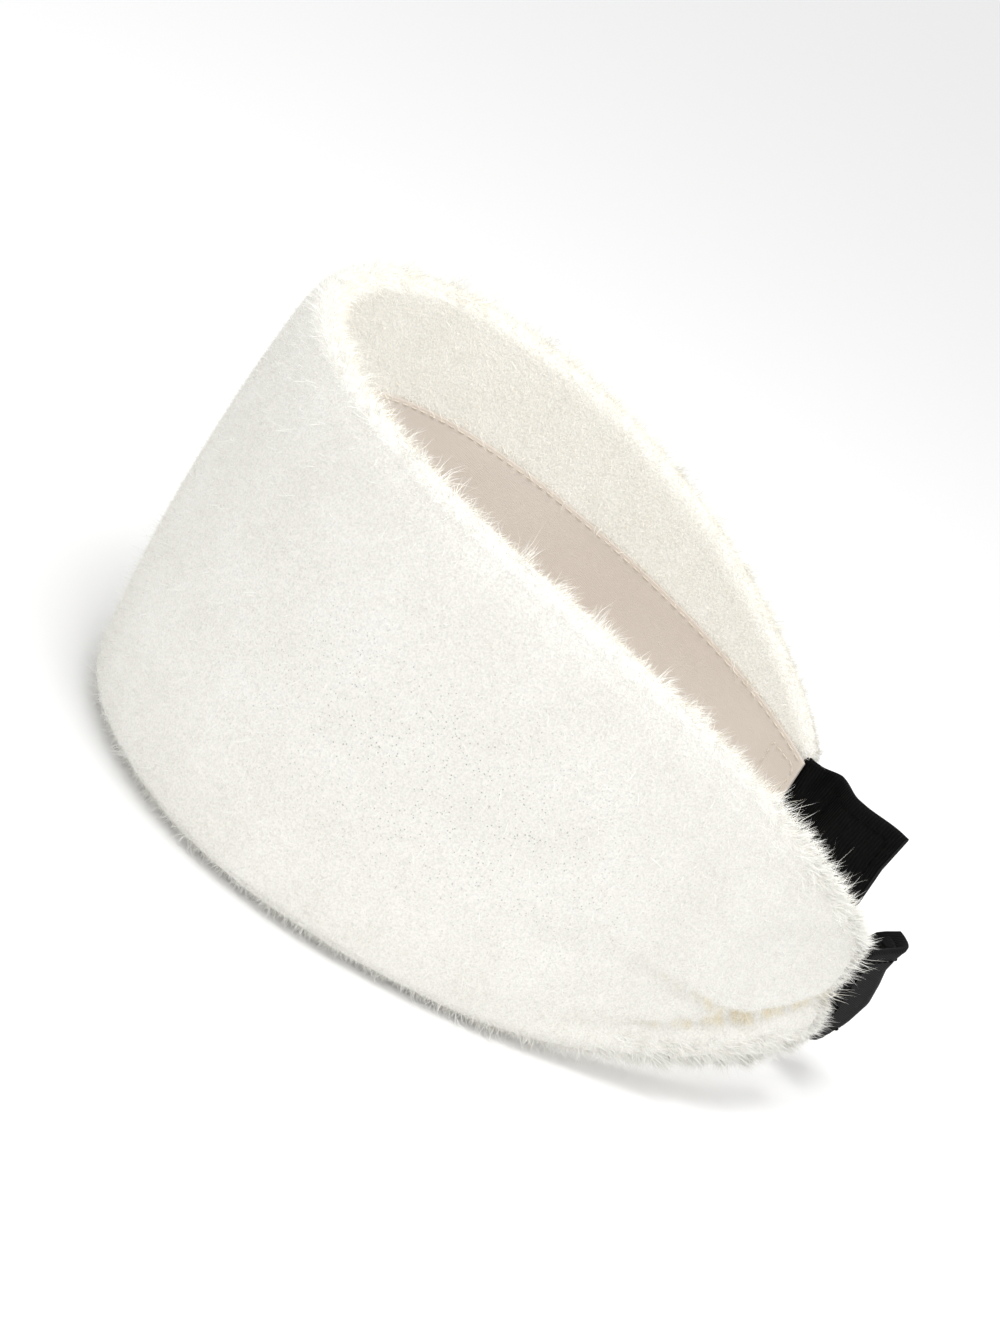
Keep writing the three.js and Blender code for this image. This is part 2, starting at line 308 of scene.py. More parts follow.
def curl_left(length, across, out):
    """How far past the band's end and how far off its face points on the left strap are: it curls in towards
    the head, soonest at its lower edge. Inside the band it isn't shifted."""
    share = across / STRAP_WIDTH + 0.5
    start = np.interp(share, CURL_SHARES, CURL_STARTS)
    turn = np.maximum(length - start, 0) / CURL_RADIUS
    ahead = np.minimum(length, start) + (CURL_RADIUS + out) * np.sin(turn)
    flare = smooth(*FLARE_SPAN, length) * (LOWER_FLARE * (1 - share) + UPPER_FLARE * share)
    off = flare - CURL_RADIUS * (1 - np.cos(turn)) + out * np.cos(turn)
    return ahead, off, 0


def wave_right(length, across, out):
    """How far past the band's end and how far off its face points on the right strap are: it waves, and its
    upper part leans out. Inside the band it is shifted as far as it waves and leans."""
    wave = sum(step * smooth(low, high, length) for step, low, high in WAVE_STEPS)
    lean = LEAN_SLOPE * np.maximum(across - LEAN_HEIGHT, 0) * smooth(0, LEAN_LENGTH, length)
    shift = wave + lean
    ahead = length - WAVE_PULL * smooth(0, STRAP_LENGTH, length)
    return ahead, out + shift, shift


def tab_place(side, length, across, out):
    """Points on a fastening strap, by length past the band's end, height above its middle and offset from its
    middle face. Where the length is below 0, the strap follows the band's own curve."""
    length, across, out = np.broadcast_arrays(length, across, out)
    ahead, off, shift = (curl_left if side > 0 else wave_right)(length, across, out)
    droop = STRAP_DROOP[side] * smooth(*STRAP_ROOT, length)
    lift = STRAP_LIFT[side] * smooth(0, STRAP_LENGTH, length)
    height = STRAP_HEIGHT + across - droop + lift
    x, y, out_x, out_y = plan(side * REACH)
    along_x, along_y = (-out_y, out_x) if side > 0 else (out_y, -out_x)
    off = off + STRAP_OFFSET
    inside = place(side * (REACH + np.minimum(length, 0)), out + shift + STRAP_OFFSET, height)
    free_x = x + along_x * ahead + out_x * off
    free_y = y + along_y * ahead + out_y * off
    beyond = np.stack(np.broadcast_arrays(free_x, free_y, height), -1)
    return np.where((length > 0)[..., None], beyond, inside)


# ---- Meshes from grids of points ----


def new_piece(name, mesh, *materials):
    piece = bpy.data.objects.new(name, mesh)
    bpy.context.collection.objects.link(piece)
    for material in materials:
        mesh.materials.append(material)
    return piece


def faces_mesh(name, points, faces):
    """A mesh of triangles or quads, all with the same number of corners."""
    mesh = bpy.data.meshes.new(name)
    count, corners = faces.shape
    mesh.vertices.add(len(points))
    mesh.vertices.foreach_set("co", points.astype(np.float32).ravel())
    mesh.loops.add(count * corners)
    mesh.loops.foreach_set("vertex_index", faces.astype(np.int32).ravel())
    mesh.polygons.add(count)
    mesh.polygons.foreach_set("loop_start", np.arange(0, count * corners, corners, dtype=np.int32))
    mesh.update(calc_edges=True)
    return mesh


def tube_faces(across, around):
    """The quads round a tube of that many rings of points, and the flat caps on its two ends."""
    index = np.arange(across * around).reshape(across, around)
    index = np.concatenate([index, index[:, :1]], 1)
    quads = np.stack([index[:-1, :-1], index[:-1, 1:], index[1:, 1:], index[1:, :-1]], -1).reshape(-1, 4)
    return quads, [index[0, :0:-1].tolist(), index[-1, :-1].tolist()]


def tube_mesh(name, points):
    """A closed mesh from a grid whose rows run round a tube. The edges of its caps are sharp, and its UV map
    is in real size: one unit is UV_SPAN along the tube or round it."""
    across, around = points.shape[:2]
    quads, caps = tube_faces(across, around)
    turned = (grid_normals(points) * (points - points.mean(1, keepdims=True))).sum() > 0
    if turned:
        quads = quads[:, ::-1]
        caps = [cap[::-1] for cap in caps]
    mesh = bpy.data.meshes.new(name)
    mesh.from_pydata(points.reshape(-1, 3).tolist(), [], quads.tolist() + caps)
    mesh.polygons.foreach_set("use_smooth", [True] * len(quads) + [False, False])
    ends = np.empty(2 * len(mesh.edges), np.int32)
    mesh.edges.foreach_get("vertices", ends)
    ends = ends.reshape(-1, 2)
    on_cap = (ends < around).all(1) | (ends >= (across - 1) * around).all(1)
    mesh.edges.foreach_set("use_edge_sharp", on_cap)
    along = np.linalg.norm(np.diff(points, axis=0), axis=-1).max(1)
    along = np.concatenate([[0], np.cumsum(along)]) / UV_SPAN
    ring = np.concatenate([points, points[:, :1]], 1)
    girth = np.linalg.norm(np.diff(ring, axis=1), axis=-1)
    girth = np.concatenate([np.zeros((across, 1)), np.cumsum(girth, 1)], 1) / UV_SPAN
    uv = np.stack(np.broadcast_arrays(along[:, None], girth), -1)
    corners = np.stack([uv[:-1, :-1], uv[:-1, 1:], uv[1:, 1:], uv[1:, :-1]], 2)
    corners = (corners[:, :, ::-1] if turned else corners).reshape(-1, 2)
    layer = mesh.uv_layers.new(name="OFBake")
    values = np.zeros((len(mesh.loops), 2))
    values[: len(corners)] = corners
    layer.data.foreach_set("uv", values.ravel())
    mesh.validate()
    return mesh


def strip_points(locate, lengths, half_width, inner, outer, rows=12):
    """A strip's grid: round its cross-section from the lower edge, up its outer face and down its inner one.
    locate turns (length, across, out) into points."""
    half = (outer - inner) / 2
    centre = (outer + inner) / 2
    up = np.linspace(-1, 1, rows)
    turn = np.linspace(0, math.pi, 5)[1:-1]
    flat = np.concatenate([up, np.ones(3), -up, -np.ones(3)])
    edge = np.concatenate([np.zeros(rows), np.sin(turn), np.zeros(rows), -np.sin(turn)])
    face = np.concatenate([np.ones(rows), np.cos(turn), -np.ones(rows), -np.cos(turn)])
    width = np.broadcast_to(half_width, lengths.shape)[:, None]
    across = flat * (width - half) + edge * half
    return locate(lengths[:, None], across, centre + face * half)


def section_grid(distances, inner, outer, low, high, swell=lambda distance, height: 0):
    """A padded band's grid as (out, height), each station's cross-section running up the outer side, over the
    top edge, down the inner side and round the bottom edge. swell moves the outer side out."""
    d = distances[:, None]
    half = (outer - inner) / 2 + 0 * d
    centre = (outer + inner) / 2 + 0 * d
    low, high = low + half, high - half
    up = np.linspace(0, 1, SIDE_ROWS, endpoint=False)[None]
    turn = np.linspace(0, math.pi, EDGE_ROWS, endpoint=False)[None]
    height_out = low + (high - low) * up
    out = [
        centre + half + swell(d, height_out),
        centre + half * np.cos(turn),
        centre - half + 0 * height_out,
        centre - half * np.cos(turn),
    ]
    height = [height_out, high + half * np.sin(turn), high - (high - low) * up, low - half * np.sin(turn)]
    return np.concatenate(out, 1), np.concatenate(height, 1)


def finer(grid, closed):
    """The grid with a new row between every two along its second axis, on a smooth curve through them."""
    pad = "wrap" if closed else "reflect"
    widened = np.pad(grid, ((0, 0), (1, 2), (0, 0)), mode=pad)
    if not closed:
        widened[:, 0] = 2 * grid[:, 0] - grid[:, 1]
        widened[:, -2] = 2 * grid[:, -1] - grid[:, -2]
    between = (9 * (widened[:, 1:-2] + widened[:, 2:-1]) - widened[:, :-3] - widened[:, 3:]) / 16
    both = np.stack([grid, between], 2).reshape(grid.shape[0], -1, grid.shape[2])
    return both if closed else both[:, :-1]


def grid_normals(points):
    """Unit normals of a grid that is closed round its second axis."""
    along = np.gradient(points, axis=0)
    around = np.roll(points, -1, 1) - np.roll(points, 1, 1)
    normal = np.cross(along, around)
    return normal / np.maximum(np.linalg.norm(normal, axis=-1, keepdims=True), 1e-12)


# ---- The padded cover ----


def cover_distances():
    """Stations along the whole band, closer together round its ends."""
    flat_reach = COVER_REACH - END_ROUNDING
    count = round(flat_reach / SECTION_STEP) * 2
    body = np.linspace(-flat_reach, flat_reach, count + 1)
    tip = flat_reach + END_ROUNDING * np.sin(np.linspace(0, math.pi / 2, 7)[1:])
    return np.concatenate([-tip[::-1], body, tip])


def crease_depth(distance, above):
    """How far the outer face is drawn in at a height above the lower edge: a crease near each end, sewn down
    along the padding's lower edge, and the pucker that runs down into it. The roll below it swells."""
    along = np.abs(distance)
    line = CREASE_LOW + CREASE_RISE * smooth(CREASE_RISE_START, REACH, along)
    strength = smooth(CREASE_START, CREASE_DEEPEST, along)
    crease = CREASE_DEPTH * strength * bell(above - line, CREASE_WIDTH)
    (from_along, from_above), (to_along, to_above) = PUCKER_START, PUCKER_END
    share = np.clip((along - from_along) / (to_along - from_along), 0, 1)
    pucker_line = from_above + (to_above - from_above) * share
    begins = smooth(*PUCKER_FADE_IN, along)
    ends = 1 - smooth(*PUCKER_FADE_OUT, along)
    pucker = PUCKER_DEPTH * begins * ends * bell(above - pucker_line, PUCKER_WIDTH)
    roll = ROLL_SWELL * strength * bell(above - line / 2, line / 3)
    return crease + pucker - roll


def cover_swell(distance, height):
    """The outer face's bulge at the crown, less its crease."""
    half = (top_edge(distance) - bottom_edge(distance)) / 2
    crown = CROWN_BULGE * (1 - (distance / REACH) ** 2) * (1 - ((height - middle(distance)) / half) ** 2)
    return crown - crease_depth(distance, height - bottom_edge(distance))


def behind_lining(distance, out, height, margin):
    """Whether places are on the inner side, no further than a margin past the lining's edges."""
    return (out < 0) & (np.abs(height - middle(distance)) < lining_half(distance) + margin)


def cover_pins(distances, out, height):
    """1 where the cover is sewn down, behind the lining, at the end seams and along the crease, or else 0."""
    d = distances[:, None]
    under_lining = behind_lining(d, out, height, 1 * MM)
    end_seam = end_share(d) > 0.6
    in_crease = (out > 0) & (crease_depth(d, height - bottom_edge(d)) > 0.6 * CREASE_DEPTH)
    return (under_lining | end_seam | in_crease).astype(float)


def stuffed(points, pins):
    """The grid after its stuffing has pushed it out, by a cloth simulation that holds the pinned points. No
    point moves in, or further out than MOST_PUFF."""
    piece = new_piece("stuffing_cloth", tube_mesh("stuffing_cloth", points))
    group = piece.vertex_groups.new(name="sewn")
    group.add(np.flatnonzero(pins.ravel() > 0.5).tolist(), 1, "REPLACE")
    cloth = piece.modifiers.new("stuffing", "CLOTH")
    settings = cloth.settings
    settings.vertex_group_mass = "sewn"
    for label, value in CLOTH_SETTINGS.items():
        setattr(settings, label, value)
    settings.effector_weights.gravity = 0
    cloth.collision_settings.use_collision = False
    cloth.point_cache.frame_start = 1
    cloth.point_cache.frame_end = CLOTH_FRAMES
    for number in range(1, CLOTH_FRAMES + 1):
        bpy.context.scene.frame_set(number)
    evaluated = piece.evaluated_get(bpy.context.evaluated_depsgraph_get())
    swollen = np.empty(points.size, np.float32)
    evaluated.data.vertices.foreach_get("co", swollen)
    bpy.context.scene.frame_set(1)
    bpy.data.objects.remove(piece)
    moved = swollen.reshape(points.shape) - points
    normal = grid_normals(points)
    moved += normal * np.maximum(0, -(moved * normal).sum(-1, keepdims=True))
    length = np.linalg.norm(moved, axis=-1, keepdims=True)
    eased = MOST_PUFF * (1 - np.exp(-length / MOST_PUFF))
    return points + moved * eased / np.maximum(length, 1e-9)


def make_cover_grid():
    """The stuffed cover as one array per grid point: x, y, z, distance, out and height before stuffing."""
    distances = cover_distances()
    d = distances[:, None]
    half = COVER_HALF * np.sqrt(np.maximum(1 - end_share(d) ** 2, THINNEST_END))
    low, high = bottom_edge(d) + RIM_INSET, top_edge(d) - RIM_INSET
    out, height = section_grid(distances, -half, half, low, high, cover_swell)
    points = place(d, out, height)
    points = stuffed(points, cover_pins(distances, out, height))
    rest = np.stack(np.broadcast_arrays(d, out, height), -1)
    grid = finer(np.concatenate([points, rest], -1), closed=True)
    grid = finer(grid.swapaxes(0, 1), closed=False).swapaxes(0, 1)
    grid[..., 2] = np.maximum(grid[..., 2], LOWEST)
    return grid


def half_of(grid, side):
    """The stations from the front centre to one end."""
    centre = grid.shape[0] // 2
    return grid[centre:] if side > 0 else grid[: centre + 1]


# ---- Plush fibres ----


def scatter(grid, density, count, rng):
    """Random places on a cover grid, as rows of its values and normals. density gives each place's share."""
    values = np.concatenate([grid, grid_normals(grid[..., :3])], -1)
    ring = np.concatenate([values, values[:, :1]], 1)
    corners = np.stack([ring[:-1, :-1], ring[1:, :-1], ring[1:, 1:], ring[:-1, 1:]], 2)
    corners = corners.reshape(-1, 4, ring.shape[-1])
    diagonals = corners[:, 2, :3] - corners[:, 0, :3], corners[:, 3, :3] - corners[:, 1, :3]
    area = np.linalg.norm(np.cross(*diagonals), axis=-1) / 2
    weight = area * density(*corners.mean(1)[:, 3:6].T)
    chosen = rng.choice(len(weight), size=count, p=weight / weight.sum())
    u, v = rng.random((2, count, 1))
    four = corners[chosen]
    return (1 - u) * ((1 - v) * four[:, 0] + v * four[:, 3]) + u * ((1 - v) * four[:, 1] + v * four[:, 2])


def unit(vectors):
    return vectors / np.maximum(np.linalg.norm(vectors, axis=-1, keepdims=True), 1e-12)


def clumps(distance, height, size, rng):
    """Each fibre's clump: three random values, the same all over it, and the way to its middle."""
    table = rng.normal(size=(CLUMP_KINDS, 3))
    jitter = rng.normal(scale=0.2 * size, size=(2, len(distance)))
    column = np.floor((np.abs(distance) + jitter[0]) / size)
    row = np.floor((height + jitter[1]) / size + 0.5 * (column % 2))
    kind = (column * 73 + row * 151).astype(int) % CLUMP_KINDS
    middle_row = row + 0.5 - 0.5 * (column % 2)
    to_middle = np.stack([(column + 0.5) * size - np.abs(distance), middle_row * size - height], -1)
    return table[kind], to_middle


def blade_sides(directions, normals, width, rng):
    """From a blade's middle to its edge, so that its flat side faces outward, more or less."""
    return unit(np.cross(directions, normals + rng.normal(scale=0.35, size=directions.shape))) * width / 2


def fibre_mesh(name, roots, directions, bends, lengths, sides):
    """Flat tapering blades of three triangles, each bending from its direction towards its bend."""
    lengths = lengths[:, None]
    half_way = roots + directions * lengths * 0.55 + bends * lengths * 0.12
    tips = roots + directions * lengths * 0.95 + bends * lengths * 0.45
    corners = [roots - sides, roots + sides, half_way - sides * 0.75, half_way + sides * 0.75, tips]
    points = np.stack(corners, 1).reshape(-1, 3)
    points[:, 2] = np.maximum(points[:, 2], LOWEST / 2)
    first = np.arange(len(roots))[:, None, None] * 5
    faces = first + np.array([[0, 1, 2], [1, 3, 2], [2, 3, 4]])
    return faces_mesh(name, points, faces.reshape(-1, 3))


def blade_mesh(name, roots, directions, lengths, sides):
    """Flat pointed blades of one triangle."""
    tips = roots + directions * lengths[:, None]
    points = np.stack([roots - sides, roots + sides, tips], 1).reshape(-1, 3)
    points[:, 2] = np.maximum(points[:, 2], LOWEST / 2)
    return faces_mesh(name, points, np.arange(len(points)).reshape(-1, 3))


def crease_shade_share(distance, out, height):
    """0 away from the crease and up to 1 where it is deepest, in patches. It places the crease's warm painted
    shade.
    """
    depth = crease_depth(distance, height - bottom_edge(distance)) / CREASE_DEPTH
    patchy = 0.6 + 0.4 * np.sin(distance / (2.3 * MM)) * np.sin(distance / (0.9 * MM) + height / (1.4 * MM))
    return np.clip(depth, 0, 1) * patchy * (out > 0)


def cream_and_painted_light(distance, out, height):
    """How cream the plush looks: little on the outer face, more on the inner one, most in the crease. The
    inner face's cream is painted brighter to make up for the shade inside the band, and the crease's warm
    cream is painted shade.
    """
    return np.where(out < -1 * MM, 0.67, 0.12 + 0.88 * crease_shade_share(distance, out, height))


def worn_share(distance, out, height):
    """1 where the outer face is worn to its knit backing, on the sides of the head."""
    along = bell(np.abs(distance) - WORN_REACH, WORN_LENGTH)
    return along * bell(height - middle(distance), WORN_HEIGHT) * (out > 0)


def nap_density(distance, out, height):
    """Nothing behind the lining, and thinner where the outer face is worn."""
    thick = 1 - 0.8 * worn_share(distance, out, height)
    return np.where(behind_lining(distance, out, height, -0.4 * MM), 0, thick)


def to_rim(distance, height):
    return np.minimum(top_edge(distance) - height, height - bottom_edge(distance)) - RIM_INSET


def wisp_density(distance, out, height):
    """Most at the rims, where fibres stand out against what is behind, with a few all over and fewest at the
    right end."""
    rim = bell(to_rim(distance, height), WISP_RIM)
    few = np.where(out > 0, FEW_OUTSIDE, FEW_INSIDE)
    from_lining = np.abs(height - middle(distance)) - lining_half(distance)
    lining_edge = LINING_SHARE * (out < 0) * bell(from_lining, LINING_RIM)
    density = np.where(behind_lining(distance, out, height, -0.2 * MM), 0, rim + few + lining_edge)
    return density * (1 - 0.9 * smooth(*BARE_END, -distance))


def tuft_density(distance, out, height):
    """Only towards the band's ends: round the end, along both rims and on the roll under the crease."""
    along = np.abs(distance)
    rim = smooth(*TUFT_RIM_SPAN, along) * bell(to_rim(distance, height), TUFT_RIM)
    end = smooth(*TUFT_END_SPAN, along)
    roll = smooth(*TUFT_ROLL_SPAN, along) * (height - bottom_edge(distance) < ROLL_HEIGHT) * (out > 0)
    return np.where(out < -0.5 * MM, 0, rim + 2 * end + 0.3 * roll)


def fibre_frame(places):
    """Each place's normal, its direction away from the front along the band, and its way up the face."""
    distance, normal = places[:, 3], places[:, 6:9]
    _, _, out_x, out_y = plan(distance)
    side = np.where(distance < 0, -1.0, 1.0)
    along = np.stack([-out_y * side, out_x * side, np.zeros(len(side))], -1)
    up = unit(np.cross(normal, along)) * side[:, None]
    return normal, along, up


def tint(places, rng):
    # The level holds painted light: brighter cream fibres inside the band and warm painted shade in the
    # crease.
    level = cream_and_painted_light(*places[:, 3:6].T) * 3 + rng.normal(scale=0.35, size=len(places))
    return np.clip(np.round(level), 0, 3).astype(np.int32)


def add_nap(name, grid, materials, rng):
    """The short nap over the cover, leaning every way."""
    places = scatter(grid, nap_density, NAP_COUNT, rng)
    normal, along, up = fibre_frame(places)
    lean = rng.normal(size=(len(places), 2))
    directions = unit(normal * 0.5 + along * lean[:, :1] * 0.6 + up * lean[:, 1:] * 0.6)
    lengths = rng.uniform(*NAP_LENGTH, len(places))
    sides = blade_sides(directions, normal, NAP_WIDTH, rng)
    mesh = blade_mesh(name, places[:, :3] - normal * NAP_ROOT, directions, lengths, sides)
    mesh.polygons.foreach_set("material_index", tint(places, rng))
    return new_piece(name, mesh, *materials)


def add_fibres(name, grid, density, kind, materials, rng):
    """Longer fibres that stand off the cover and gather into clumps, swept towards the band's ends."""
    places = scatter(grid, density, kind.count, rng)
    normal, along, up = fibre_frame(places)
    lean, to_middle = clumps(places[:, 3], places[:, 5], kind.clump, rng)
    stray = rng.normal(scale=0.4, size=lean.shape)
    sway = 0.4 * lean + stray
    directions = unit(normal + along * (sway[:, :1] + kind.sweep) + up * sway[:, 1:2])
    lengths = rng.uniform(*kind.length, len(places)) * (0.55 + 0.4 * np.abs(lean[:, 2]))
    gather = kind.gather * to_middle / lengths[:, None]
    bends = along * (gather[:, :1] + 0.5 * lean[:, 1:2]) + up * (gather[:, 1:] - 0.5 * lean[:, :1]) + stray
    sides = blade_sides(directions, normal, kind.width, rng)
    roots = places[:, :3] - normal * FIBRE_ROOT
    mesh = fibre_mesh(name, roots, directions, bends, lengths, sides)
    mesh.polygons.foreach_set("material_index", np.repeat(tint(places, rng), 3))
    return new_piece(name, mesh, *materials)


# ---- Materials ----


def new_material(name, colour, roughness, **sockets):
    """A Principled material with plain values, and its node tree and shader for patterns to join."""
    material = bpy.data.materials.new(name)
    material.use_nodes = True
    shader = material.node_tree.nodes["Principled BSDF"]
    shader.inputs["Base Color"].default_value = (*colour, 1)
    shader.inputs["Roughness"].default_value = roughness
    for label, value in sockets.items():
        shader.inputs[label.replace("_", " ")].default_value = value
    return material, material.node_tree, shader


def place_vector(tree, on_surface=False):
    """Texture coordinates in metres in the frame, or on the piece's own surface in lengths of UV_SPAN."""
    if on_surface:
        node = tree.nodes.new("ShaderNodeUVMap")
        node.uv_map = "OFBake"
        return node.outputs["UV"]
    return tree.nodes.new("ShaderNodeTexCoord").outputs["Object"]


def pattern(tree, kind, vector, scale, output, **inputs):
    """A texture node of a kind, read at a vector, with so many repeats per unit."""
    node = tree.nodes.new(f"ShaderNodeTex{kind}")
    tree.links.new(vector, node.inputs["Vector"])
    node.inputs["Scale"].default_value = scale
    for label, value in inputs.items():
        node.inputs[label.replace("_", " ")].default_value = value
    return node.outputs[output]


def ramp(tree, value, *stops):
    """The value turned into a colour by (place, colour) stops."""
    node = tree.nodes.new("ShaderNodeValToRGB")
    tree.links.new(value, node.inputs["Fac"])
    elements = node.color_ramp.elements
    while len(elements) < len(stops):
        elements.new(0.5)
    for element, (position, colour) in zip(elements, stops):
        element.position = position
        element.color = (*colour, 1)
    return node.outputs["Color"]


def share_of(tree, attribute):
    """A value from 0 to 1 that the mesh holds at each point."""
    node = tree.nodes.new("ShaderNodeAttribute")
    node.attribute_name = attribute
    return node.outputs["Fac"]


def mixed(tree, kind, share, a, b):
    """Two colours mixed, by MIX or MULTIPLY and so on, with a plain or a patterned share."""
    node = tree.nodes.new("ShaderNodeMix")
    node.data_type = "RGBA"
    node.blend_type = kind
    factor, first, second = (next(i for i in node.inputs if i.identifier == name) for name in MIX_SOCKETS)
    if isinstance(share, bpy.types.NodeSocket):
        tree.links.new(share, factor)
    else:
        factor.default_value = share
    tree.links.new(a, first)
    tree.links.new(b, second)
    return next(o for o in node.outputs if o.identifier == "Result_Color")


def paint(tree, shader, colour):
    tree.links.new(colour, shader.inputs["Base Color"])


def bump(tree, shader, height, distance):
    node = tree.nodes.new("ShaderNodeBump")
    node.inputs["Distance"].default_value = distance
    tree.links.new(height, node.inputs["Height"])
    tree.links.new(node.outputs["Normal"], shader.inputs["Normal"])


def grey(level):
    return (level, level, level)


def plush_material():
    """The cover's fabric: a fine grain under a drift of tone, a warm painted shade in the crease, and where
    it is worn the knit backing's loops with their tiny dark gaps."""
    material, tree, shader = new_material("plush_fabric", (0.9, 0.88, 0.83), 0.95, Sheen_Weight=0.25)
    surface = place_vector(tree, on_surface=True)
    drift = pattern(tree, "Noise", place_vector(tree), 60, "Fac", Detail=4)
    tone = ramp(tree, drift, (0.3, (0.86, 0.845, 0.79)), (0.7, (0.91, 0.895, 0.85)))
    grain = pattern(tree, "Noise", place_vector(tree), 1 / (0.5 * MM), "Fac", Detail=3)
    speckle = ramp(tree, grain, (0.35, grey(0.86)), (0.6, grey(1)))
    loops = pattern(tree, "Voronoi", surface, UV_SPAN / (1 * MM), "Distance")
    gaps = ramp(tree, loops, (0.08, grey(0.4)), (0.22, grey(0.96)))
    knit = mixed(tree, "MIX", share_of(tree, "worn"), ramp(tree, loops, (0, grey(1))), gaps)
    # Painted shade: a warm brown where the crease is deepest, read from the crease attribute.
    crease_painted_shade = ramp(tree, share_of(tree, "crease"), (0.3, grey(1)), (1, (0.9, 0.79, 0.55)))
    colour = tone
    for layer in (speckle, knit, crease_painted_shade):
        colour = mixed(tree, "MULTIPLY", 1, colour, layer)
    paint(tree, shader, colour)
    bump(tree, shader, grain, 0.25 * MM)
    return material


def fibre_materials():
    """The plush fibres' tints, from the outer face's white to the crease's warm cream. The inner face's cream
    is painted brighter to make up for the shade inside the band, and the crease's warm cream is painted
    shade.
    A fibre is too fine to carry a pattern, so each takes one tint and the mixture makes the tone."""
    # The third tint is the inner face's painted-bright cream and the fourth the crease's painted shade.
    tints = ((0.9, 0.895, 0.86), (0.87, 0.855, 0.8), (0.97, 0.94, 0.865), (0.92, 0.85, 0.67))
    return [
        new_material(f"plush_fibre_{number}", colour, 0.6, Sheen_Weight=0.3)[0]
        for number, colour in enumerate(tints)
    ]


def satin_material():
    """The lining: a close satin weave with a soft sheen and a slow drift of tone."""
    material, tree, shader = new_material("lining_satin", (0.66, 0.58, 0.5), 0.5, Sheen_Weight=0.35)
    surface = place_vector(tree, on_surface=True)
    drift = pattern(tree, "Noise", place_vector(tree), 14, "Fac", Detail=2)
    tone = ramp(tree, drift, (0.35, (0.64, 0.56, 0.485)), (0.65, (0.7, 0.635, 0.56)))
    threads = pattern(tree, "Wave", surface, UV_SPAN / (1.1 * MM), "Fac", Distortion=1.2, Detail_Scale=2)
    shade = ramp(tree, threads, (0, grey(0.955)), (1, grey(1)))
    paint(tree, shader, mixed(tree, "MULTIPLY", 1, tone, shade))
    gloss = ramp(tree, drift, (0.3, grey(0.42)), (0.7, grey(0.56)))
    tree.links.new(gloss, shader.inputs["Roughness"])
    bump(tree, shader, threads, 0.05 * MM)
    return material


def webbing_material():
    """Black webbing: close ribs across the strap, with a slight lint."""
    material, tree, shader = new_material("black_webbing", grey(0.003), 0.6, Specular_IOR_Level=0.06)
    surface = place_vector(tree, on_surface=True)
    ribs = pattern(tree, "Wave", surface, UV_SPAN / (2.6 * MM), "Fac", Distortion=0.6, Detail_Scale=3)
    lint = pattern(tree, "Noise", surface, UV_SPAN / (0.5 * MM), "Fac", Detail=3)
    tone = ramp(tree, ribs, (0, grey(0.0015)), (1, grey(0.004)))
    speck = ramp(tree, lint, (0.55, grey(1)), (0.8, grey(1.6)))
    paint(tree, shader, mixed(tree, "MULTIPLY", 1, tone, speck))
    bump(tree, shader, ribs, 0.08 * MM)
    return material


def thread_material(name, colour, shine):
    """Sewing thread with its twist."""
    material, tree, shader = new_material(name, colour, 0.55, Specular_IOR_Level=shine)
    twist = pattern(tree, "Noise", place_vector(tree), 1 / (0.4 * MM), "Fac", Detail=2)
    dark = tuple(0.75 * part for part in colour)
    paint(tree, shader, ramp(tree, twist, (0.35, dark), (0.6, colour)))
    bump(tree, shader, twist, 0.1 * MM)
    return material


def tape_material(name, level, grain):
    """The hook or loop tape's black base, with its grain of tufts."""
    material, tree, shader = new_material(name, grey(level), 0.7, Specular_IOR_Level=0.12)
    tufts = pattern(tree, "Voronoi", place_vector(tree), 1 / grain, "Distance")
    tone = ramp(tree, tufts, (0, grey(level)), (0.6, grey(level * 0.4)))
    paint(tree, shader, tone)
    bump(tree, shader, tufts, 0.2 * MM)
    return material


def foam_material():
    """Open-cell foam, pale yellow."""
    material, tree, shader = new_material("padding_foam", (0.85, 0.8, 0.62), 0.9)
    cells = pattern(tree, "Voronoi", place_vector(tree), 1 / (1.2 * MM), "Distance")
    tone = ramp(tree, cells, (0.1, (0.6, 0.54, 0.38)), (0.5, (0.87, 0.82, 0.66)))
    paint(tree, shader, tone)
    bump(tree, shader, cells, 0.4 * MM)
    return material


def stay_material():
    """The spring stay: milky plastic with fine drawn lines."""
    material, tree, shader = new_material("stay_plastic", (0.75, 0.77, 0.78), 0.35)
    lines = pattern(tree, "Noise", place_vector(tree), 400, "Fac", Detail=2)
    tone = ramp(tree, lines, (0.3, grey(0.66)), (0.7, grey(0.78)))
    paint(tree, shader, tone)
    bump(tree, shader, lines, 0.05 * MM)
    return material


# ---- Pieces ----


def flex_wing(piece, side):
    """The piece's transform baked into its mesh; the wing's flex line is worked out but not used."""
    hinge = place(side * HINGE_REACH, 0, CROWN_HEIGHT / 2)
    _, _, out_x, out_y = plan(side * HINGE_REACH)
    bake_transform(piece)


def flex_tab(piece, side):
    """The strap's transform baked into its mesh; the tab's flex span is worked out but not used."""
    start = tab_place(side, TAB_FLEX - TAB_FLEX_HALF_LENGTH, 0, 0)
    end = tab_place(side, TAB_FLEX + TAB_FLEX_HALF_LENGTH, 0, 0)
    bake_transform(piece)


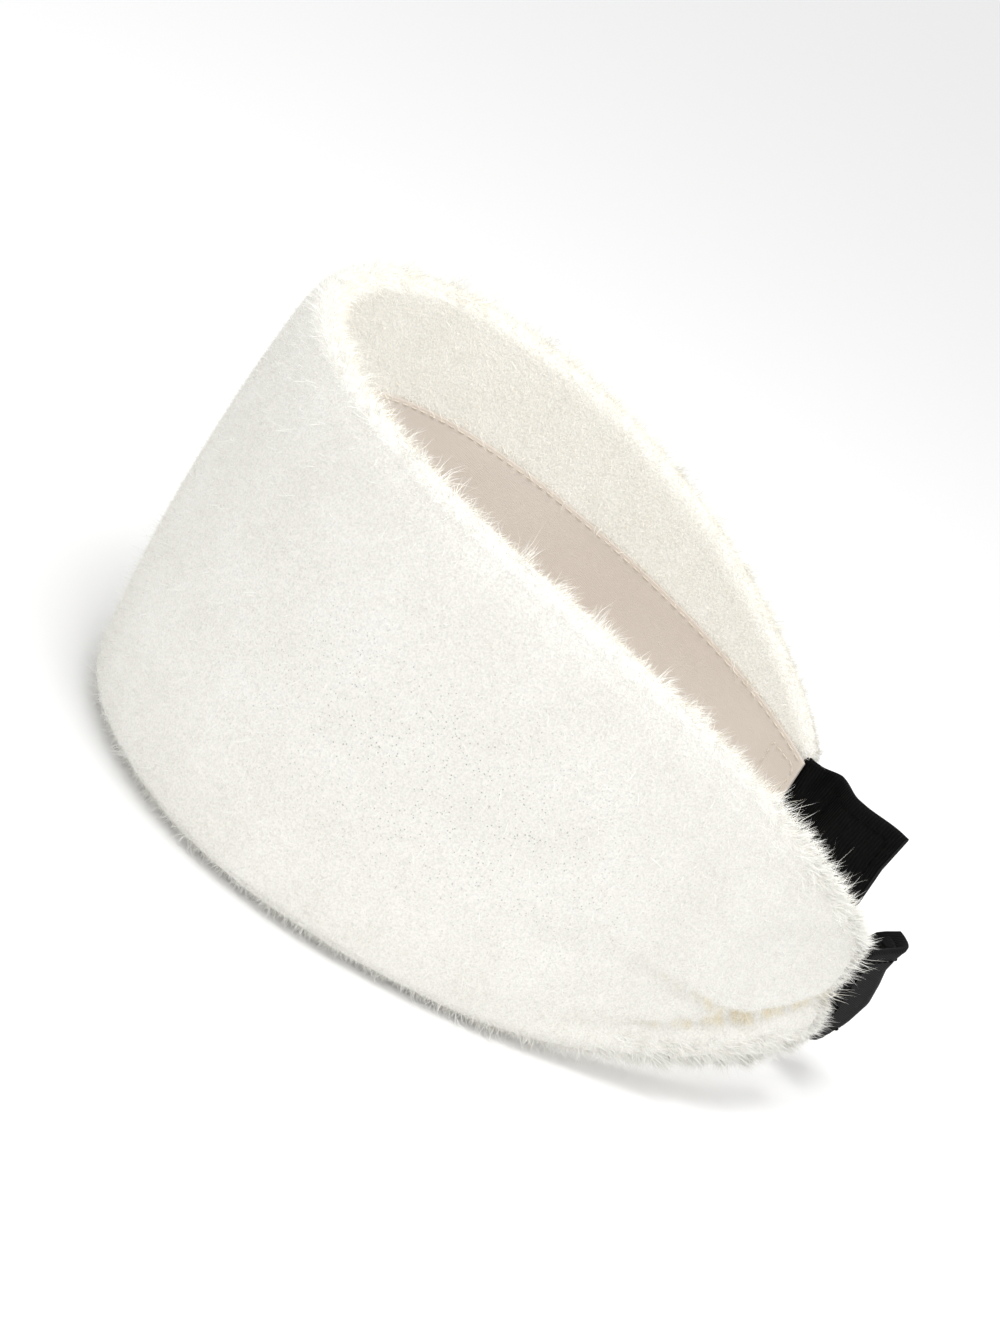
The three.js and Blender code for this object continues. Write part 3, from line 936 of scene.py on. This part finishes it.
def add_cover(side, name, grid, materials, rng):
    mesh = tube_mesh(f"{name}_plush_cover", grid[..., :3])
    rest = grid.reshape(-1, grid.shape[-1])[:, 3:6].T
    # The crease attribute places the cover's painted crease shade; the worn one, where the knit backing
    # shows.
    for label, share in (("crease", crease_shade_share), ("worn", worn_share)):
        layer = mesh.attributes.new(label, "FLOAT", "POINT")
        layer.data.foreach_set("value", share(*rest).astype(np.float32))
    cover = new_piece(f"{name}_plush_cover", mesh, plush)
    nap = add_nap(f"{name}_plush_nap", grid, materials, rng)
    wisps = add_fibres(f"{name}_plush_wisps", grid, wisp_density, WISPS, materials, rng)
    tufts = add_fibres(f"{name}_plush_tufts", grid, tuft_density, TUFTS[name], materials, rng)
    for piece in (cover, nap, wisps, tufts):
        flex_wing(piece, side)
    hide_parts("crown_cover", f"{name}_cover")


def band_lengths(side, end, step):
    """Distances from the front centre to an end, in rising order for both sides."""
    distances = np.linspace(0, side * end, round(end / step) + 1)
    return distances if side > 0 else distances[::-1]


def add_padding(side, name):
    """The foam pad and the spring stay, inside the cover."""
    distances = band_lengths(side, COVER_REACH - 2 * COVER_WALL, SECTION_STEP)
    d = distances[:, None]
    inset = RIM_INSET + COVER_WALL
    low, high = bottom_edge(d) + inset, top_edge(d) - inset
    out, height = section_grid(distances, FOAM_INNER, COVER_HALF - COVER_WALL, low, high, cover_swell)
    foam = new_piece(f"{name}_foam_pad", tube_mesh(f"{name}_foam_pad", place(d, out, height)), foam_fill)
    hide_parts("crown_foam", f"{name}_foam")

    def on_stay(distance, across, out):
        return place(distance, out, middle(distance) + across)

    lengths = band_lengths(side, REACH - STRAP_ANCHOR - END_ROUNDING, SECTION_STEP)
    half = tapered_half(STAY_CROWN_HEIGHT, STAY_END_HEIGHT, lengths)
    points = strip_points(on_stay, lengths, half, STAY_INNER, STAY_OUTER, rows=4)
    stay = new_piece(f"{name}_spring_stay", tube_mesh(f"{name}_spring_stay", points), stay_plastic)
    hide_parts("crown_stay", f"{name}_stay")
    for piece in (foam, stay):
        flex_wing(piece, side)


def on_lining(distance, across, out):
    """Points on the lining, which ripples slightly along the band."""
    ripple = 0.16 * MM * np.sin(distance / (9 * MM)) * np.cos(across / (7 * MM))
    ripple = ripple + 0.1 * MM * np.sin(distance / (4.1 * MM) + across / (5 * MM))
    tucked = np.abs(across) / lining_half(distance)
    return place(distance, out + ripple * (1 - tucked**4), middle(distance) + across)


def add_lining(side, name):
    lengths = band_lengths(side, LINING_END, SECTION_STEP / 2)
    half = lining_half(lengths)
    points = strip_points(on_lining, lengths, half, LINING_FACE, LINING_BACK, rows=22)
    lining = new_piece(f"{name}_satin_lining", tube_mesh(f"{name}_satin_lining", points), satin)
    flex_wing(lining, side)
    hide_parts("crown_lining", f"{name}_lining")


def stitch_mesh(name, centres, along, out, length, radius):
    """A row of short stitches, each a bead that tapers into the cloth at both ends."""
    turn = np.linspace(0, 2 * math.pi, 7)[:-1]
    reach = np.array([-1, -0.7, 0, 0.7, 1])
    girth = np.array([0.25, 0.8, 1, 0.8, 0.25])
    rise = np.array([-0.8, 0.1, 0.4, 0.1, -0.8])
    side = np.cross(along, out)
    middles = along[:, None] * (reach * length / 2)[:, None] + out[:, None] * (rise * radius)[:, None]
    rings = centres[:, None] + middles
    round_it = np.cos(turn)[:, None] * out[:, None, None] + np.sin(turn)[:, None] * side[:, None, None]
    points = rings[:, :, None] + round_it * (girth * radius)[:, None, None]
    rows, around = points.shape[1:3]
    quads, caps = tube_faces(rows, around)
    faces = []
    for number in range(len(points)):
        first = number * rows * around
        faces += [[first + corner for corner in face] for face in quads.tolist() + caps]
    mesh = bpy.data.meshes.new(name)
    mesh.from_pydata(points.reshape(-1, 3).tolist(), [], faces)
    mesh.polygons.foreach_set("use_smooth", [True] * len(mesh.polygons))
    return mesh


def path_frame(locate, path):
    """Points along a path of (length, across) on a surface, with their directions along it and out of it."""
    lengths, across = path.T
    points = locate(lengths, across, 0 * lengths)
    along = unit(np.gradient(points, axis=0))
    lifted = locate(lengths, across, 0 * lengths + 0.1 * MM)
    return points, along, unit(lifted - points)


def resampled(path, step):
    """Points evenly spaced along a path of straight runs."""
    runs = np.linalg.norm(np.diff(path, axis=0), axis=-1)
    places = np.concatenate([[0], np.cumsum(runs)])
    wanted = np.arange(step / 2, places[-1], step)
    return np.stack([np.interp(wanted, places, path[:, k]) for k in range(path.shape[1])], -1)


def frame_path(start, end, half):
    """The outline of a box of stitches."""
    return np.array([(start, -half), (end, -half), (end, half), (start, half), (start, -half)])


def add_stitches(name, locate, path, pitch, radius, material):
    centres, along, out = path_frame(locate, resampled(path, pitch))
    return new_piece(name, stitch_mesh(name, centres, along, out, pitch * 0.8, radius), material)


def add_lining_stitches(side, name):
    """The thread along the lining's two edges, and the box of stitches that holds the strap's sewn end."""

    def on_face(distance, across, out):
        return on_lining(distance, across, LINING_FACE - out)

    lengths = band_lengths(side, LINING_END - 1 * MM, SECTION_STEP)
    for edge, sign in (("upper", 1), ("lower", -1)):
        path = np.stack([lengths, sign * (lining_half(lengths) - 0.9 * MM)], -1)
        thread = add_stitches(f"{name}_{edge}_lining_thread", on_face, path, 3 * MM, 0.22 * MM, cream_thread)
        flex_wing(thread, side)
        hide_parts(f"crown_{edge}_thread", f"{name}_{edge}_thread")
    end = LINING_END - STITCH_MARGIN
    half = lining_half(end) - 3 * MM
    path = frame_path(side * (end - BOX_STITCH_LENGTH), side * end, half)
    box = add_stitches(f"{name}_anchor_stitch", on_face, path, 2.4 * MM, 0.2 * MM, cream_thread)
    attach(box, f"{name}_wing")
    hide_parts(f"{name}_box_stitch")


def add_strap(side, name):
    """The webbing strap, with the end that is sewn inside the band."""
    lengths = np.concatenate([np.linspace(-STRAP_ANCHOR, 0, 8)[:-1], np.linspace(0, STRAP_LENGTH, 50)])
    on_strap = partial(tab_place, side)
    points = strip_points(on_strap, lengths, STRAP_WIDTH / 2, -STRAP_HALF, STRAP_HALF, rows=24)
    strap = new_piece(f"{name}_webbing_strap", tube_mesh(f"{name}_webbing_strap", points), webbing)
    flex_tab(strap, side)
    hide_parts(f"{name}_strap_anchor", f"{name}_tab_strap")


def patch_places(side, face, lengths, across, out):
    """Points on the strap's outer face (face 1) or head side (face -1), at a height above it."""
    return tab_place(side, lengths, across, face * (STRAP_HALF + out))


def pile_places(kind, rng):
    """Where the tape's tufts stand: hooks in rows and loops at random, as (along, across)."""
    if kind == "hook":
        across, along = np.meshgrid(HOOK_COLUMNS, HOOK_ROWS)
        return along.ravel(), across.ravel()
    half = PATCH_WIDTH / 2 - LOOP_MARGIN
    along = rng.uniform(PATCH_START + LOOP_MARGIN, PATCH_END - LOOP_MARGIN, LOOP_COUNT)
    return along, rng.uniform(-half, half, LOOP_COUNT)


def add_pile(name, kind, on_tape, material):
    """The hooks or loops that stand on a tape patch."""
    rng = np.random.default_rng(PILE_SEED)
    along, across = pile_places(kind, rng)
    height, thickness, curl, tangle = PILE_SHAPES[kind]
    roots = on_tape(along, across, 0)
    out = unit(on_tape(along, across, 0.1 * MM) - roots)
    forward = unit(on_tape(along + 0.1 * MM, across, 0) - roots)
    spread = rng.normal(size=roots.shape) * tangle
    roots = roots + out * PATCH_THICKNESS * 0.5
    directions = unit(out + spread)
    sides = blade_sides(directions, forward, thickness, rng)
    lengths = np.full(len(roots), height)
    mesh = fibre_mesh(f"{name}_{kind}_pile", roots, directions, forward * curl + spread, lengths, sides)
    return new_piece(f"{name}_{kind}_pile", mesh, material)


def add_patch(side, name, kind, face, material):
    """A tape patch on one face of the strap, with its hooks or loops, and its stitches on the other face."""
    on_tape = partial(patch_places, side, face)
    on_back = partial(patch_places, side, -face)
    lengths = np.linspace(PATCH_START, PATCH_END, 30)
    points = strip_points(on_tape, lengths, PATCH_WIDTH / 2, 0.02 * MM, PATCH_THICKNESS * 0.6, rows=16)
    tape = new_piece(f"{name}_{kind}_tape", tube_mesh(f"{name}_{kind}_tape", points), material)
    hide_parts(f"{name}_tab_{kind}_patch")
    margin = STITCH_MARGIN
    path = frame_path(PATCH_START + margin, PATCH_END - margin, PATCH_WIDTH / 2 - margin)
    stitches = add_stitches(f"{name}_{kind}_stitch", on_back, path, 2.6 * MM, 0.24 * MM, black_thread)
    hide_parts(f"{name}_tab_patch_stitch")
    pile = add_pile(name, kind, on_tape, material)
    for piece in (tape, stitches, pile):
        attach(piece, f"{name}_tab")


# ---- Scene ----


def add_camera():
    """The photograph's viewpoint, slid sideways and up without turning."""
    azimuth, elevation, roll = (math.radians(a) for a in (CAMERA_AZIMUTH, CAMERA_ELEVATION, CAMERA_ROLL))
    back = Vector((
        math.sin(azimuth) * math.cos(elevation),
        -math.cos(azimuth) * math.cos(elevation),
        math.sin(elevation),
    ))
    level = Vector((math.cos(azimuth), math.sin(azimuth), 0))
    upright = back.cross(level)
    right = level * math.cos(roll) + upright * math.sin(roll)
    up = back.cross(right)
    data = bpy.data.cameras.new("camera")
    data.lens = CAMERA_LENS
    camera = bpy.data.objects.new("camera", data)
    camera.matrix_world = Matrix((right, up, back)).transposed().to_4x4()
    camera.location = CAMERA_TARGET + back * CAMERA_DISTANCE + right * CAMERA_SLIDE[0] + up * CAMERA_SLIDE[1]
    bpy.context.collection.objects.link(camera)
    bpy.context.scene.camera = camera


def add_softbox(name, location, size, power):
    """A square light that faces the object's middle."""
    data = bpy.data.lights.new(name, "AREA")
    data.size = size
    data.energy = power
    light = bpy.data.objects.new(name, data)
    light.location = location
    light.rotation_euler = (LIGHT_TARGET - light.location).to_track_quat("-Z", "Y").to_euler()
    bpy.context.collection.objects.link(light)


def add_studio():
    """White surroundings, a pale floor, a large light in front and a small one over the opening."""
    world = bpy.data.worlds.new("studio")
    world.use_nodes = True
    background = world.node_tree.nodes["Background"]
    background.inputs["Color"].default_value = (1, 1, 1, 1)
    background.inputs["Strength"].default_value = WORLD_STRENGTH
    bpy.context.scene.world = world
    bpy.context.scene.view_settings.view_transform = "Standard"
    corners = np.array([(-1, -1, 0), (1, -1, 0), (1, 1, 0), (-1, 1, 0)], float) * FLOOR_HALF
    paper, _, _ = new_material("floor_paper", grey(0.98), 0.9)
    new_piece("floor", faces_mesh("floor", corners, np.array([[0, 1, 2, 3]])), paper)
    add_softbox("key_softbox", (1.5, -0.4, 1.35), size=1, power=6.2)
    add_softbox("opening_softbox", (0.1, 0, 0.5), size=0.25, power=1.3)


# ---- Build ----

plush = plush_material()
fibres = fibre_materials()
satin = satin_material()
webbing = webbing_material()
cream_thread = thread_material("cream_thread", (0.74, 0.66, 0.56), 0.5)
black_thread = thread_material("black_thread", grey(0.003), 0.04)
hook_tape = tape_material("hook_tape", 0.006, 1.0 * MM)
loop_tape = tape_material("loop_tape", 0.006, 0.6 * MM)
foam_fill = foam_material()
stay_plastic = stay_material()

cover = make_cover_grid()
rng = np.random.default_rng(SEED)
for name, side in (("left", 1), ("right", -1)):
    add_cover(side, name, half_of(cover, side), fibres, rng)
    add_padding(side, name)
    add_lining(side, name)
    add_lining_stitches(side, name)
    add_strap(side, name)
add_patch(1, "left", "hook", -1, hook_tape)
add_patch(-1, "right", "loop", 1, loop_tape)
add_camera()
add_studio()
